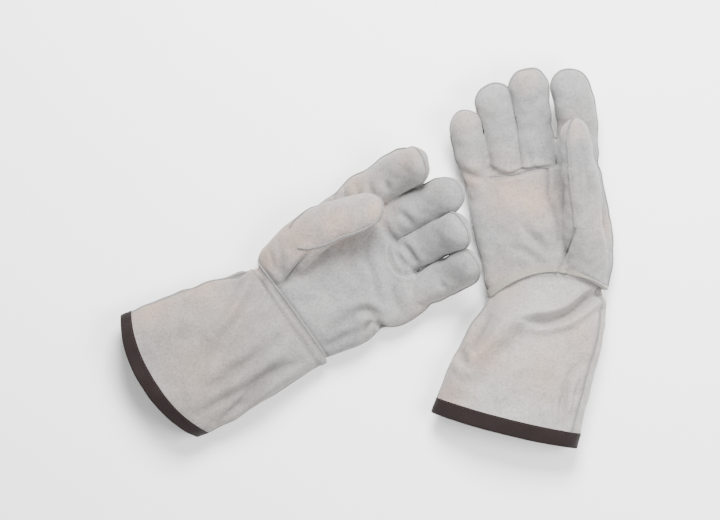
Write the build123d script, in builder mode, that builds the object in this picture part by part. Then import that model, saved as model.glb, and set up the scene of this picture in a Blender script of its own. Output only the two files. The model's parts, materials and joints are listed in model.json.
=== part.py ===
from build123d import *
from math import cos, radians, sin
import os

os.makedirs("parts", exist_ok=True)

# A pair of suede gauntlet gloves lying on their backs, palms up.  Millimetres.
# +Z is up out of the table, +Y runs from the hems toward the fingertips of the right glove.
# Every glove is described in its own hand frame: x toward the thumb, y toward the
# fingertips, z out of the palm, with the wrist seam at y = 0.

# ---- leather, lining and seams -------------------------------------------------------
LEATHER = 1.4            # split cowhide
LINING = 1.0             # brushed cotton
LINING_GAP = 0.15        # air between lining and leather
BINDING = 1.3            # folded tape over the cuff edge
BINDING_WIDTH = 12.0
WELT_RADIUS = 1.8        # piping in the wrist seam
FLAT = 2.0               # depth by which a resting underside is pressed flat

# ---- fingers -------------------------------------------------------------------------
BURY = 22.0              # length of a finger tube that sits inside the hand
TIP_ROUND = 11.0         # length of the rounded end of a fingertip
PLAY = 3.0               # spare angle at each end of a knuckle's travel
KNUCKLE_GAP = 2.0        # distance of each finger tube's end from its knuckle
THUMB_GAP = 4.2          # the same at the thumb, which also bends sideways
LINING_STOP = 12.0       # distance of the lining's end from a knuckle

RIGHT = dict(
    name="right",
    origin=(177.5, -21.2),
    turn=4.0,
    mirror=1,
    curl=45.0,           # most a finger closes beyond its rest bend
    open=12.0,           # most a finger straightens from its rest bend
    # y, centre x, half width, centre z, half thickness
    hand=[
        (-1.0, -2.0, 57.0, 19.0, 18.5),
        (40.0, -4.0, 61.0, 20.0, 20.0),
        (78.0, -6.0, 62.5, 18.5, 18.5),
        (103.0, -6.5, 61.5, 16.5, 14.5),
    ],
    # centre x, centre y, turn in plan, half width, centre z, half thickness
    cuff=[
        (-2.0, 5.0, 0.0, 52.0, 19.0, 14.5),
        (-2.0, -9.0, 0.0, 53.5, 19.0, 15.5),
        (-6.0, -20.0, 5.0, 57.0, 20.0, 18.6),
        (-20.0, -57.0, 13.0, 63.0, 21.5, 20.1),
        (-36.0, -97.0, 19.0, 68.0, 22.5, 21.1),
        (-51.0, -134.0, 21.0, 70.5, 23.5, 22.1),
    ],
    # base x, base y, knuckle x, y, z, tip x, y, z, half width, half thickness
    fingers=dict(
        index=((33.0, 102.0), (33.0, 147.0, 26.0), (33.0, 198.0, 43.0), 19.5, 13.5),
        middle=((-5.0, 103.0), (-5.5, 148.0, 26.0), (-6.5, 199.0, 44.0), 16.8, 13.5),
        ring=((-37.0, 103.0), (-39.0, 144.0, 26.0), (-42.5, 188.0, 42.0), 15.2, 13.0),
        little=((-62.0, 96.0), (-67.2, 131.0, 22.0), (-71.0, 167.0, 34.0), 12.3, 12.0),
    ),
    # base, knuckle, tip, roll of the palm side, half widths, half thicknesses
    thumb=((36.0, 12.0, 22.0), (39.0, 84.0, 59.0), (33.0, 147.0, 76.0), -65.0,
           (18.5, 18.5, 15.0), (16.0, 14.5, 12.5)),
    thumb_curl=12.0,
    thumb_open=20.0,
    insert=(-52.0, 7.5, 88.0),
)

LEFT = dict(
    name="left",
    origin=(-66.7, -50.7),
    turn=-60.0,
    mirror=-1,
    curl=32.0,
    open=25.0,
    hand=[
        (-1.0, -1.0, 57.0, 19.0, 18.5),
        (40.0, 6.0, 63.0, 20.0, 20.0),
        (85.0, 7.0, 67.5, 18.5, 18.5),
        (117.0, 7.5, 68.0, 16.5, 14.5),
    ],
    cuff=[
        (-1.0, 5.0, 0.0, 52.0, 19.0, 14.5),
        (-1.0, -9.0, 0.0, 53.5, 19.0, 15.5),
        (0.0, -20.0, 0.0, 57.5, 20.0, 18.6),
        (3.0, -57.0, 1.0, 62.0, 21.5, 20.1),
        (6.0, -98.0, 2.5, 65.0, 22.5, 21.1),
        (9.7, -141.0, 4.0, 66.5, 23.5, 22.1),
    ],
    fingers=dict(
        index=((62.0, 116.0), (65.0, 157.0, 38.0), (67.5, 186.0, 78.0), 18.8, 13.5),
        middle=((26.0, 116.0), (24.0, 159.0, 38.0), (20.0, 198.0, 70.0), 16.6, 13.5),
        ring=((-4.0, 116.0), (-8.5, 156.0, 38.0), (-12.0, 185.0, 77.0), 15.4, 13.0),
        little=((-43.0, 113.0), (-43.5, 149.0, 34.0), (-42.0, 176.0, 66.0), 16.5, 12.5),
    ),
    thumb=((38.0, 12.0, 22.0), (53.0, 74.0, 57.0), (43.0, 122.0, 67.0), -150.0,
           (20.0, 18.0, 14.5), (16.0, 14.0, 12.5)),
    thumb_curl=5.0,
    thumb_open=25.0,
    insert=(-25.2, 43.2, 102.0),
)


# ---- frames --------------------------------------------------------------------------
def aim(glove, x, y, z):
    """Turn a direction of the hand frame into the shared frame."""
    turn = radians(glove["turn"])
    side = glove["mirror"] * x
    return Vector(side * cos(turn) - y * sin(turn), side * sin(turn) + y * cos(turn), z)


def put(glove, x, y, z):
    """Place a point of the hand frame in the shared frame."""
    return aim(glove, x, y, z) + Vector(*glove["origin"], 0)


def station(centre, axis, palm, width, front, back, tilt=0.0):
    """A cross section: its middle, the limb's direction, the palm side and its half sizes."""
    lean = radians(tilt)
    normal = axis * cos(lean) + palm * sin(lean)
    rise = palm * cos(lean) - axis * sin(lean)
    return centre, normal, rise, width, front / cos(lean), back / cos(lean)


def section(cut, half, skin):
    """Draw the front half, the back half or the whole of a cross section, skin inside it."""
    centre, normal, rise, width, front, back = cut
    a = width - skin
    up = front - skin
    down = back - skin
    with BuildSketch(Plane(origin=centre, x_dir=rise.cross(normal), z_dir=normal)) as outline:
        with BuildLine():
            if half == "front":
                EllipticalCenterArc((0, 0), a, up, start_angle=0, arc_size=180)
                Line((-a, 0), (a, 0))
            if half == "back":
                EllipticalCenterArc((0, 0), a, down, start_angle=180, arc_size=180)
                Line((a, 0), (-a, 0))
            if half == "whole":
                EllipticalCenterArc((0, 0), a, up, start_angle=0, arc_size=180)
                EllipticalCenterArc((0, 0), a, down, start_angle=180, arc_size=180)
        make_face()
    return outline.sketch


def limb(cuts, half, skin=0.0, mode=Mode.ADD):
    """Loft a limb of the glove through its cross sections."""
    loft([section(cut, half, skin) for cut in cuts], ruled=True, mode=mode)


def press_flat():
    """Flatten the underside where the glove rests on the table."""
    with Locations((0, 0, -50)):
        Box(900, 900, 100, mode=Mode.SUBTRACT)


# ---- limbs ---------------------------------------------------------------------------
def hand_cuts(glove, room=0.0, end=0.0, sole=0.0):
    """Cross sections of the hand, running on by room at the wrist and stopping short by end.

    sole deepens the back so that it can be pressed flat.
    """
    rows = list(glove["hand"])
    if room:
        rows.insert(0, (rows[0][0] - room,) + rows[0][1:])
    rows[-1] = (rows[-1][0] - end,) + rows[-1][1:]
    cuts = []
    for y, x, width, height, thick in rows:
        cuts.append(station(put(glove, x, y, height), aim(glove, 0, 1, 0), Vector(0, 0, 1),
                            width, thick, height + sole))
    return cuts


def cuff_cuts(glove, wrist_room=0.0, hem_room=0.0):
    """Cross sections of the cuff, running on by some room at the wrist and the hem."""
    cuts = []
    for x, y, turn, width, height, thick in glove["cuff"]:
        along = aim(glove, sin(radians(turn)), cos(radians(turn)), 0)
        middle = put(glove, x, y, height)
        cuts.append(station(middle, along, Vector(0, 0, 1), width, thick, thick))
    if wrist_room:
        cuts.insert(0, (cuts[0][0] + cuts[0][1] * wrist_room,) + cuts[0][1:])
    if hem_room:
        cuts.append((cuts[-1][0] - cuts[-1][1] * hem_room,) + cuts[-1][1:])
    return cuts


def bone(base, knuckle):
    return (knuckle - base).normalized()


def palm_side(axis, across_up):
    """The palm side of a limb: up, made square to its direction."""
    return (across_up - axis * axis.dot(across_up)).normalized()


def finger_frame(glove, finger):
    """Base, knuckle and tip of a finger with the two directions and palm sides."""
    (bx, by), knuckle, tip, width, thick = glove["fingers"][finger]
    lift = (knuckle[2] - 17.0) / (knuckle[1] - by + BURY)
    run = (knuckle[0] - bx) / (knuckle[1] - by)
    base = put(glove, bx - run * BURY, by - BURY, 17.0)
    crotch = put(glove, bx, by, 17.0 + lift * BURY)
    hinge = put(glove, *knuckle)
    end = put(glove, *tip)
    first = bone(base, hinge)
    second = bone(hinge, end)
    up = Vector(0, 0, 1)
    return base, crotch, hinge, end, first, second, palm_side(first, up), palm_side(second, up)


def thumb_frame(glove):
    """Base, knuckle and tip of the thumb; its palm side is rolled toward the palm."""
    base, knuckle, tip, roll, widths, thicks = glove["thumb"]
    base = put(glove, *base)
    hinge = put(glove, *knuckle)
    end = put(glove, *tip)
    first = bone(base, hinge)
    second = bone(hinge, end)
    sides = []
    for axis in (first, second):
        up = palm_side(axis, Vector(0, 0, 1))
        across = palm_side(axis, aim(glove, 1, 0, 0))
        rolled = up * cos(radians(roll)) + across * sin(radians(roll))
        sides.append(palm_side(axis, rolled))
    return base, base, hinge, end, first, second, sides[0], sides[1]


def bend_tilts(first, second, curl, open_):
    """End tilts on the palm side and the back that leave a knuckle free to swing."""
    bend = first.get_angle(second)
    return (bend + curl + PLAY) / 2, (open_ + PLAY - bend) / 2


def base_limb(frame, widths, thicks, tilts, half, gap, skin=0.0, run_on=9.0, mode=Mode.ADD):
    """The part of a digit between the hand and its knuckle."""
    base, _, hinge, _, first, _, side, _ = frame
    cuts = [station(base, first, side, widths[0], thicks[0], thicks[0])]
    if half == "whole":
        stop = hinge + first * run_on
        cuts.append(station(stop, first, side, widths[1], thicks[1], thicks[1]))
    else:
        tilt = tilts[0] if half == "front" else -tilts[1]
        stop = hinge - first * gap
        cuts.append(station(stop, first, side, widths[1], thicks[1], thicks[1], tilt))
    limb(cuts, half, skin, mode)


def tip_limb(frame, widths, thicks, tilts, half, gap, skin=0.0, mode=Mode.ADD):
    """The part of a digit beyond its knuckle, closed and rounded at the end."""
    _, _, hinge, end, _, second, _, side = frame
    shoulder = end - second * TIP_ROUND
    cuts = []
    if half == "whole":
        start = hinge - second * 9
        cuts.append(station(start, second, side, widths[0], thicks[0], thicks[0]))
    else:
        tilt = -tilts[0] if half == "front" else tilts[1]
        start = hinge + second * gap
        cuts.append(station(start, second, side, widths[0], thicks[0], thicks[0], tilt))
    cuts.append(station(shoulder, second, side, widths[1], thicks[1], thicks[1]))
    for rest, share in ((0.45, 0.86), (0.0, 0.52)):
        middle = end - second * (TIP_ROUND * rest + skin)
        cuts.append(station(middle, second, side, widths[1] * share,
                            thicks[1] * share, thicks[1] * share))
    limb(cuts, half, skin, mode)


def finger_base(glove, finger, half, skin=0.0, run_on=9.0, mode=Mode.ADD):
    frame = finger_frame(glove, finger)
    width, thick = glove["fingers"][finger][3:]
    tilts = bend_tilts(frame[4], frame[5], glove["curl"], glove["open"])
    base_limb(frame, (width, width), (thick, thick), tilts, half, KNUCKLE_GAP, skin, run_on, mode)


def thumb_base(glove, half, skin=0.0, run_on=9.0, mode=Mode.ADD):
    frame = thumb_frame(glove)
    widths, thicks = glove["thumb"][4:]
    tilts = bend_tilts(frame[4], frame[5], glove["thumb_curl"], glove["thumb_open"])
    base_limb(frame, widths[:2], thicks[:2], tilts, half, THUMB_GAP, skin, run_on, mode)


def hand_half(glove, half, mode=Mode.ADD):
    """The hand and the lower parts of the four fingers as one solid half."""
    limb(hand_cuts(glove, sole=FLAT if half == "back" else 0.0), half, mode=mode)
    for finger in glove["fingers"]:
        finger_base(glove, finger, half, mode=mode)


def hand_cavity(glove, skin, run_on=9.0, mode=Mode.SUBTRACT):
    """The room inside the hand, its fingers and its thumb."""
    limb(hand_cuts(glove, room=5.0, end=skin), "whole", skin, mode)
    for finger in glove["fingers"]:
        finger_base(glove, finger, "whole", skin, run_on, mode)
    thumb_base(glove, "whole", skin, run_on, mode)


def insert_box(glove, mode):
    """The region of the separate leather that covers the fronts of the middle fingers."""
    low, high, start = glove["insert"]
    centre = put(glove, (low + high) / 2, start + 60, 60)
    with Locations(Location(centre, (0, 0, glove["turn"]))):
        Box(high - low, 120, 200, mode=mode)


def save(builder, name):
    """Write a sewn piece out, without the shavings that trimming can leave beside it."""
    piece = builder.part.solids().sort_by(SortBy.VOLUME)[-1]
    piece.label = name
    export_step(piece, "parts/" + name + ".step")


for glove in (RIGHT, LEFT):
    name = glove["name"]

    # ---- leather of the hand ----
    with BuildPart() as palm:
        hand_half(glove, "front")
        hand_cavity(glove, LEATHER)
        insert_box(glove, Mode.SUBTRACT)
    save(palm, name + "_palm")

    with BuildPart() as insert:
        hand_half(glove, "front")
        hand_cavity(glove, LEATHER)
        insert_box(glove, Mode.INTERSECT)
    save(insert, name + "_middle_fingers_insert")

    with BuildPart() as back:
        hand_half(glove, "back")
        hand_half(glove, "front", mode=Mode.SUBTRACT)
        hand_cavity(glove, LEATHER)
        press_flat()
    save(back, name + "_back")

    # ---- thumb ----
    for half in ("front", "back"):
        with BuildPart() as shell:
            thumb_base(glove, half)
            limb(hand_cuts(glove, sole=FLAT), "whole", mode=Mode.SUBTRACT)
            thumb_base(glove, "whole", LEATHER, mode=Mode.SUBTRACT)
        save(shell, name + "_thumb_base_" + half)

        frame = thumb_frame(glove)
        widths, thicks = glove["thumb"][4:]
        tilts = bend_tilts(frame[4], frame[5], glove["thumb_curl"], glove["thumb_open"])
        with BuildPart() as shell:
            tip_limb(frame, widths[1:], thicks[1:], tilts, half, THUMB_GAP)
            tip_limb(frame, widths[1:], thicks[1:], tilts, "whole", 0.0, LEATHER, Mode.SUBTRACT)
        save(shell, name + "_thumb_tip_" + half)

    # ---- fingertips ----
    for finger in glove["fingers"]:
        frame = finger_frame(glove, finger)
        width, thick = glove["fingers"][finger][3:]
        tilts = bend_tilts(frame[4], frame[5], glove["curl"], glove["open"])
        ends = ((width, width - 1.0), (thick, thick - 1.0))
        for half in ("front", "back"):
            with BuildPart() as shell:
                tip_limb(frame, *ends, tilts, half, KNUCKLE_GAP)
                tip_limb(frame, *ends, tilts, "whole", 0.0, LEATHER, Mode.SUBTRACT)
            save(shell, name + "_" + finger + "_tip_" + half)

    # ---- cuff ----
    for half in ("front", "back"):
        with BuildPart() as panel:
            limb(cuff_cuts(glove), half)
            limb(cuff_cuts(glove, 3.0, 3.0), "whole", LEATHER, Mode.SUBTRACT)
        save(panel, name + "_cuff_" + half)

    with BuildPart() as binding:
        x, y, turn, width, height, thick = glove["cuff"][-1]
        along = aim(glove, sin(radians(turn)), cos(radians(turn)), 0)
        hem = put(glove, x, y, height)
        up = Vector(0, 0, 1)
        reach = width + BINDING
        depth = thick + BINDING
        sole = height + FLAT
        limb([station(hem + along * BINDING_WIDTH, along, up, reach - 0.4, depth, sole),
              station(hem - along * BINDING, along, up, reach, depth, sole)], "whole")
        limb(cuff_cuts(glove), "whole", mode=Mode.SUBTRACT)
        limb(cuff_cuts(glove, 3.0, 6.0), "whole", LEATHER + LINING_GAP + LINING, Mode.SUBTRACT)
        press_flat()
    save(binding, name + "_cuff_binding")

    # ---- wrist welt ----
    y, x, width, height, thick = glove["hand"][0]
    ring = put(glove, x, y - WELT_RADIUS - 0.2, height)
    with BuildPart() as welt:
        up = Vector(0, 0, 1)
        along = aim(glove, 0, 1, 0)
        rim = [station(ring + along * side * WELT_RADIUS, along, up, width, thick, thick)
               for side in (-1, 1)]
        limb(rim, "whole")
        bore = [station(ring + along * side * 2 * WELT_RADIUS, along, up, width, thick, thick)
                for side in (-1, 1)]
        limb(bore, "whole", LEATHER + 0.6, Mode.SUBTRACT)
    save(welt, name + "_wrist_welt")

    # ---- linings ----
    with BuildPart() as lining:
        outer = LEATHER + LINING_GAP
        hand_cavity(glove, outer, -LINING_STOP, Mode.ADD)
        hand_cavity(glove, outer + LINING, -LINING_STOP + 2, Mode.SUBTRACT)
        with Locations(Location(put(glove, 0, -96, 20), (0, 0, glove["turn"]))):
            Box(200, 200, 200, mode=Mode.SUBTRACT)
    save(lining, name + "_hand_lining")

    with BuildPart() as sleeve:
        limb(cuff_cuts(glove), "whole", LEATHER + LINING_GAP)
        limb(cuff_cuts(glove, 3.0, 3.0), "whole", LEATHER + LINING_GAP + LINING, Mode.SUBTRACT)
    save(sleeve, name + "_cuff_lining")
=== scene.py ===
import json
import math

import bmesh
import bpy
import numpy as np
from mathutils import Matrix, Vector
from mathutils.bvhtree import BVHTree


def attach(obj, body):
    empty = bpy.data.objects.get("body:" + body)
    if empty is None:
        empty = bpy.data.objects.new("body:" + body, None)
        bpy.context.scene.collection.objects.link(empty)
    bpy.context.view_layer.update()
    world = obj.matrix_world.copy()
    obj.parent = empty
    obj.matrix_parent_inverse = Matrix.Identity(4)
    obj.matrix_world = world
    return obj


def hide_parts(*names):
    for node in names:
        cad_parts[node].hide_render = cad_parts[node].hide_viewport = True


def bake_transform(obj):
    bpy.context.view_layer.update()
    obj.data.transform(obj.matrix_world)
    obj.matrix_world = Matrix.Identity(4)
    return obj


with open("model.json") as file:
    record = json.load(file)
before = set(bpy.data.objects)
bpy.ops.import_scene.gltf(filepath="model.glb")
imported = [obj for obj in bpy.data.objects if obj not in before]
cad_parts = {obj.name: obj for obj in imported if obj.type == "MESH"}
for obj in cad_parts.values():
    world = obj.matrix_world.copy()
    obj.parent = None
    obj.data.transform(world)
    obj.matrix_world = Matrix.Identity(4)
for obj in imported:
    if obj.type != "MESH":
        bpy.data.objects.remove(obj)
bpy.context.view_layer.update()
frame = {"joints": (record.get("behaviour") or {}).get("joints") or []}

MM = 0.001

# ---- the two gloves, in each hand's own frame (x to the thumb, y to the fingertips, z out of the palm) ----
MID = 17.5               # height of the side seams of the flat hand
BURY = 26.0              # length of a finger that runs inside the hand
VOXEL = 1.6
THICK = 1.4              # leather

RIGHT = dict(
    name="right",
    seed=11,
    origin=(177.5, -21.2),
    turn=4.0,
    mirror=1,
    # y, centre x, half width, depth to the back, height to the palm
    hand=[(-14, -2, 56, 17.0, 17.0), (0, -2, 56.5, 17.0, 17.5), (14, -2, 59, 17.0, 19.0), (45, -3, 64.5, 17.5, 21.0),
          (75, -6, 65, 17.0, 19.0), (97, -7.5, 61.5, 15.0, 15.0), (106, -7.5, 58, 12.0, 12.0)],
    # crotch x, y; knuckle x, y, z; tip x, y, z; half width at root, middle and end; fan at the root in degrees
    fingers=dict(
        index=((33, 102), (34.0, 147, 26), (26.5, 197, 44), (18.5, 19.3, 16.2), 3.0),
        middle=((-4, 103), (-6, 148, 27), (-11.0, 198, 46), (15.5, 18.0, 16.5), -2.0),
        ring=((-35, 102), (-37.5, 145, 25), (-46.0, 188, 42), (13.8, 16.8, 15.8), -7.0),
        little=((-62, 95), (-67.5, 131, 23), (-72.5, 165.5, 36), (12.5, 15.2, 14.2), -13.0),
    ),
    thumb=dict(line=[(33, -4, 16), (34, 30, 34), (32, 82, 57), (28.5, 147, 76)], roll=-126.0,
               wide=(22, 21, 18.5, 13.5), deep=(19, 18.5, 16.0, 12.0)),
    cuff=[(-2, 0, 0, 56.5, 17, 17), (-6, -20, 5, 58, 19, 20), (-20, -57, 13, 64, 21, 22),
          (-38, -97, 18, 66.5, 22, 22.5), (-54, -136, 18.0, 69.5, 22, 22)],
    wrist=dict(base=-12.0, tilt=0.0, arc=20.0, middle=-4.0),
    binding=13.0,
    bow=3.0,                 # how far the middle of the hem stands out
    seam=16,                 # column of the cuff's side seam
    # each crease: points in plan, depth, width, step from one side to the other
    creases=[
        ([(1, 82), (6, 66), (9, 48), (7, 30)], 1.4, 4.0, 0.5),
        ([(-26, 57), (-15, 43), (-4, 29)], 1.3, 4.0, 0.3),
        ([(-37, 35), (-19, 26), (-8, 15)], 1.0, 4.0, -0.2),
        ([(-48, 72), (-30, 66), (-12, 70)], -1.1, 9.0, 0.0),
        ([(-36, 12), (-24, 34), (-20, 52)], -1.0, 9.0, 0.0),
        ([(-53, 111), (-45, 106), (-33, 103)], 0.9, 2.6, 0.2),
        ([(-14, 125), (-11, 112), (-5, 104)], 0.6, 2.6, 0.2),
        ([(-78, 112), (-68, 104), (-56, 100)], 0.9, 3.2, 0.0),
        ([(51, 57), (47, 40), (42, 26), (39, 8)], 1.8, 3.6, 0.6),
        ([(30, 30), (26, 44), (27, 60)], 0.9, 5.0, 0.0),
    ],
    cuff_creases=[
        ([(52, -13), (34, -20), (20, -29), (7, -35), (-9, -38), (-25, -37)], 3.2, 4.0, 1.6),
        ([(8, -24), (-20, -29), (-45, -38), (-65, -56), (-82, -71), (-98, -83)], -3.4, 11.0, 0.0),
        ([(-60, -24), (-70, -44), (-82, -62)], 2.0, 8.0, 0.0),
        ([(-88, -50), (-90, -61), (-84, -75)], 1.7, 4.0, -0.5),
        ([(14, -84), (6, -104), (1, -124)], 1.2, 3.6, 0.3),
        ([(7, -104), (2, -120), (0, -138)], 0.9, 3.2, 0.2),
        ([(20, -92), (13, -112), (8, -134)], 0.9, 3.0, -0.2),
        ([(-30, -60), (-45, -85), (-62, -108)], -1.2, 12.0, 0.0),
    ],
    thumb_creases=[
        ([(33, 128), (36, 106), (38, 84), (36, 60)], 1.0, 3.2, 0.0),
        ([(28, 118), (30, 96), (29, 74)], 0.7, 3.0, 0.0),
    ],
    # round hollows in the outline: x, y, z, radius, depth
    hollows=[(-68, 99, 18, 10, 3.2), (-64, -22, 18, 13, 5.0), (51, -16, 18, 9, 2.6), (-60, 40, 18, 24, 2.0), (62, 70, 20, 12, 1.2)],
    # sewn lines that can be seen on the palm side
    gunn=[(-50, 101.5), (-31, 102), (-13, 105.5), (5, 106)],
    gunn_side=[(5, 106), (3.5, 94), (2, 80)],
    thumb_run=[(23.5, 48), (15, 25), (6, 3)],
    patch=[],
    # warm stains in plan: x, y, radius, strength
    warm=[(-35, 86, 24, 0.9), (-10, 78, 22, 0.9), (-68, 100, 14, 0.7), (-10, 190, 12, 0.5), (-72, 158, 12, 0.5), (28, 140, 12, 0.6),
          (-45, -4, 20, 0.6), (-70, -60, 26, 0.8), (-105, -100, 24, 0.8), (-12, -85, 30, 0.5), (25, -55, 26, 0.5), (55, 50, 12, 0.6)],
    # round patches of painted shade in plan, where the leather lies in shade: x, y, radius, strength
    soil=[(-38, 22, 24, 0.26), (-12, 44, 22, 0.2), (-50, 48, 16, 0.15)],
)

LEFT = dict(
    name="left",
    seed=29,
    origin=(-66.7, -50.7),
    turn=-60.0,
    mirror=-1,
    hand=[(-14, 1, 52, 17.0, 17.0), (0, 0.5, 53, 17.0, 17.5), (14, 0, 56, 17.0, 19.0), (45, 6, 64, 17.5, 21.0),
          (85, 7, 69, 17.0, 19.0), (110, 7.5, 69, 15.0, 15.0), (120, 7.5, 66, 12.0, 12.0)],
    fingers=dict(
        index=((62, 116), (63.0, 153, 38), (59.0, 178, 74), (18.0, 19.2, 16.5), 5.0),
        middle=((26, 116), (24, 157, 38), (20, 194, 70), (16.0, 18.2, 16.6), -1.0),
        ring=((-7, 116), (-9, 154, 38), (-12, 181, 76), (15.5, 18.6, 16.8), -5.0),
        little=((-43, 113), (-45, 147, 34), (-43, 173, 66), (15.5, 17.4, 15.0), -10.0),
    ),
    thumb=dict(line=[(39, -4, 16), (49, 26, 33), (54, 74, 56), (42, 124, 66)], roll=-152.0,
               wide=(17, 23, 20.0, 15.0), deep=(14, 15, 13.5, 10.5)),
    cuff=[(0.5, 0, 0, 53, 17, 17), (0, -20, 0, 57.5, 19, 20), (3, -57, 1, 63, 21, 22),
          (6, -98, 2.5, 66, 22, 22.5), (9.7, -137, 2, 67.5, 22, 22)],
    wrist=dict(base=1.5, tilt=-0.11, arc=1.0, middle=0.0),
    binding=10.5,
    bow=17.0,
    seam=5,
    creases=[
        ([(18, 92), (10, 88), (-9, 85), (-32, 78)], 1.2, 4.6, 0.3),
        ([(-25, 96), (-40, 92), (-57, 91)], 1.2, 5.0, 0.2),
        ([(-34, 42), (-31, 54), (-37, 65), (-58, 68)], 2.0, 4.0, 0.5),
        ([(-52, 47), (-46, 60), (-58, 68)], 1.5, 3.0, -0.3),
        ([(-60, 54), (-53, 62), (-60, 70)], 1.0, 2.4, 0.2),
        ([(-43, 10), (-45, 23), (-45, 33), (-47, 46)], 1.4, 4.0, 0.2),
        ([(-34, 16), (-32, 34), (-33, 50)], 1.2, 8.0, 0.0),
        ([(70, 124), (59, 121), (47, 117)], 1.0, 3.2, 0.2),
        ([(62, 138), (51, 135)], 0.8, 3.0, 0.0),
        ([(31, 135), (24, 137), (13, 140)], 1.0, 3.4, 0.0),
        ([(4, 122), (-9, 124), (-21, 125)], 1.5, 2.8, 0.4),
        ([(30, 118), (17, 116), (4, 118)], 0.9, 3.4, 0.0),
        ([(-44, 136), (-53, 134)], 0.6, 3.0, 0.0),
        ([(8, 55), (0, 64), (-8, 70)], -0.8, 10.0, 0.0),
    ],
    cuff_creases=[
        ([(55, -3), (45, -18), (33, -36), (24, -54), (18, -74)], -2.4, 5.5, 0.8),
        ([(62, -44), (56, -26), (53, -8)], 1.3, 3.0, 0.4),
        ([(-25, -110), (-23, -73), (-19, -38), (-16, -14)], 1.5, 6.0, 0.0),
        ([(-39, -122), (-40, -88), (-38, -57), (-35, -22)], 1.8, 5.5, 0.0),
        ([(-56, -112), (-51, -84), (-46, -64), (-43, -42), (-45, -16)], 2.2, 4.2, 0.6),
        ([(2, -104), (3, -80), (2, -50)], 1.0, 7.0, 0.0),
        ([(40, -126), (44, -100), (42, -80)], -0.8, 9.0, 0.0),
    ],
    thumb_creases=[
        ([(62, 22), (49, 17), (31, 6)], 1.0, 3.4, 0.2),
        ([(60, 12), (48, 9), (38, 4)], 0.8, 3.0, 0.0),
        ([(36, 60), (42, 40), (40, 22)], -0.8, 8.0, 0.0),
    ],
    hollows=[(63, -70, 18, 9, 3.4), (61, -10, 18, 10, 4.2), (-60, 68, 20, 8, 4.5), (-58, 60, 14, 12, 2.5), (-58, 4, 18, 8, -1.0)],
    gunn=[(8, 111.5), (2, 108), (-7, 104.5), (-17, 105), (-23.5, 110), (-25, 118)],
    gunn_side=[],
    thumb_run=[(40, 41), (33, 22), (25, 2.5)],
    patch=[[(77, 103), (66, 97), (55, 91)], [(78, 93), (68, 86), (60, 81)], [(73, 70), (69, 79), (68, 87)]],
    warm=[(60, 40, 28, 0.9), (50, 78, 24, 0.8), (42, 115, 14, 0.8), (76, 110, 18, 0.7), (72, 165, 12, 0.6), (60, 4, 20, 0.9),
          (70, -60, 24, 0.8), (76, -110, 28, 0.8), (30, -45, 14, 0.5), (-60, 112, 12, 0.4), (0, -100, 40, 0.3)],
    # round patches of painted shade in plan, where the leather lies in shade: x, y, radius, strength
    soil=[(-20, -55, 26, 0.3), (-45, -60, 24, 0.26), (-42, -100, 22, 0.2), (-52, 40, 16, 0.2), (18, 60, 18, 0.15)],
)


def to_world(glove, points):
    """Hand frame in millimetres to the shared frame in metres."""
    p = np.asarray(points, float)
    turn = math.radians(glove["turn"])
    x = p[..., 0] * glove["mirror"]
    y = p[..., 1]
    out = np.empty_like(p)
    out[..., 0] = x * math.cos(turn) - y * math.sin(turn) + glove["origin"][0]
    out[..., 1] = x * math.sin(turn) + y * math.cos(turn) + glove["origin"][1]
    out[..., 2] = p[..., 2]
    return out * MM


def turn_world(glove, vectors):
    """Directions of the hand frame to the shared frame."""
    v = np.asarray(vectors, float)
    turn = math.radians(glove["turn"])
    out = v.copy()
    x = v[..., 0] * glove["mirror"]
    out[..., 0] = x * math.cos(turn) - v[..., 1] * math.sin(turn)
    out[..., 1] = x * math.sin(turn) + v[..., 1] * math.cos(turn)
    return out


def smooth(t):
    t = np.clip(t, 0, 1)
    return t * t * (3 - 2 * t)


def unit(v):
    v = np.asarray(v, float)
    return v / np.maximum(np.linalg.norm(v, axis=-1, keepdims=True), 1e-9)


def spline(points, count):
    """A smooth line through some points, evenly spaced along its length."""
    p = np.asarray(points, float)
    p = np.vstack([2 * p[0] - p[1], p, 2 * p[-1] - p[-2]])
    line = []
    for i in range(1, len(p) - 2):
        a, b, c, d = p[i - 1], p[i], p[i + 1], p[i + 2]
        k1, k2 = np.linalg.norm(c - b), np.linalg.norm(c - b)
        m1 = (c - a) / (np.linalg.norm(b - a) + k1) * k1
        m2 = (d - b) / (np.linalg.norm(d - c) + k2) * k2
        for t in np.linspace(0, 1, 60, endpoint=False):
            line.append((2 * t**3 - 3 * t**2 + 1) * b + (t**3 - 2 * t**2 + t) * m1
                        + (3 * t**2 - 2 * t**3) * c + (t**3 - t**2) * m2)
    line.append(p[-2])
    return resample(np.array(line), count)


def resample(line, count):
    line = np.asarray(line, float)
    s = np.concatenate([[0], np.cumsum(np.linalg.norm(np.diff(line, axis=0), axis=1))])
    want = np.linspace(0, s[-1], count)
    return np.stack([np.interp(want, s, line[:, k]) for k in range(line.shape[1])], axis=1)


def length(line):
    return float(np.linalg.norm(np.diff(line, axis=0), axis=1).sum())


def tangents(line):
    return unit(np.gradient(line, axis=0))


def ring(centre, across, up, wide, high, low, power, segments):
    """One cross section: a superellipse, power 2 being an ellipse."""
    a = np.linspace(0, 2 * math.pi, segments, endpoint=False)
    c, s = np.cos(a), np.sin(a)
    u = wide * np.sign(c) * np.abs(c) ** (2 / power)
    v = np.where(s > 0, high, low) * np.sign(s) * np.abs(s) ** (2 / power)
    return np.asarray(centre) + u[:, None] * np.asarray(across) + v[:, None] * np.asarray(up)


def tube(rings):
    """Vertices and faces of a closed tube through cross sections of equal count."""
    n = len(rings[0])
    verts = np.vstack(rings)
    faces = []
    for i in range(len(rings) - 1):
        for j in range(n):
            k = (j + 1) % n
            faces.append((i * n + j, i * n + k, (i + 1) * n + k, (i + 1) * n + j))
    faces.append(tuple(range(n - 1, -1, -1)))
    faces.append(tuple(range((len(rings) - 1) * n, len(rings) * n)))
    return verts, faces


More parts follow.
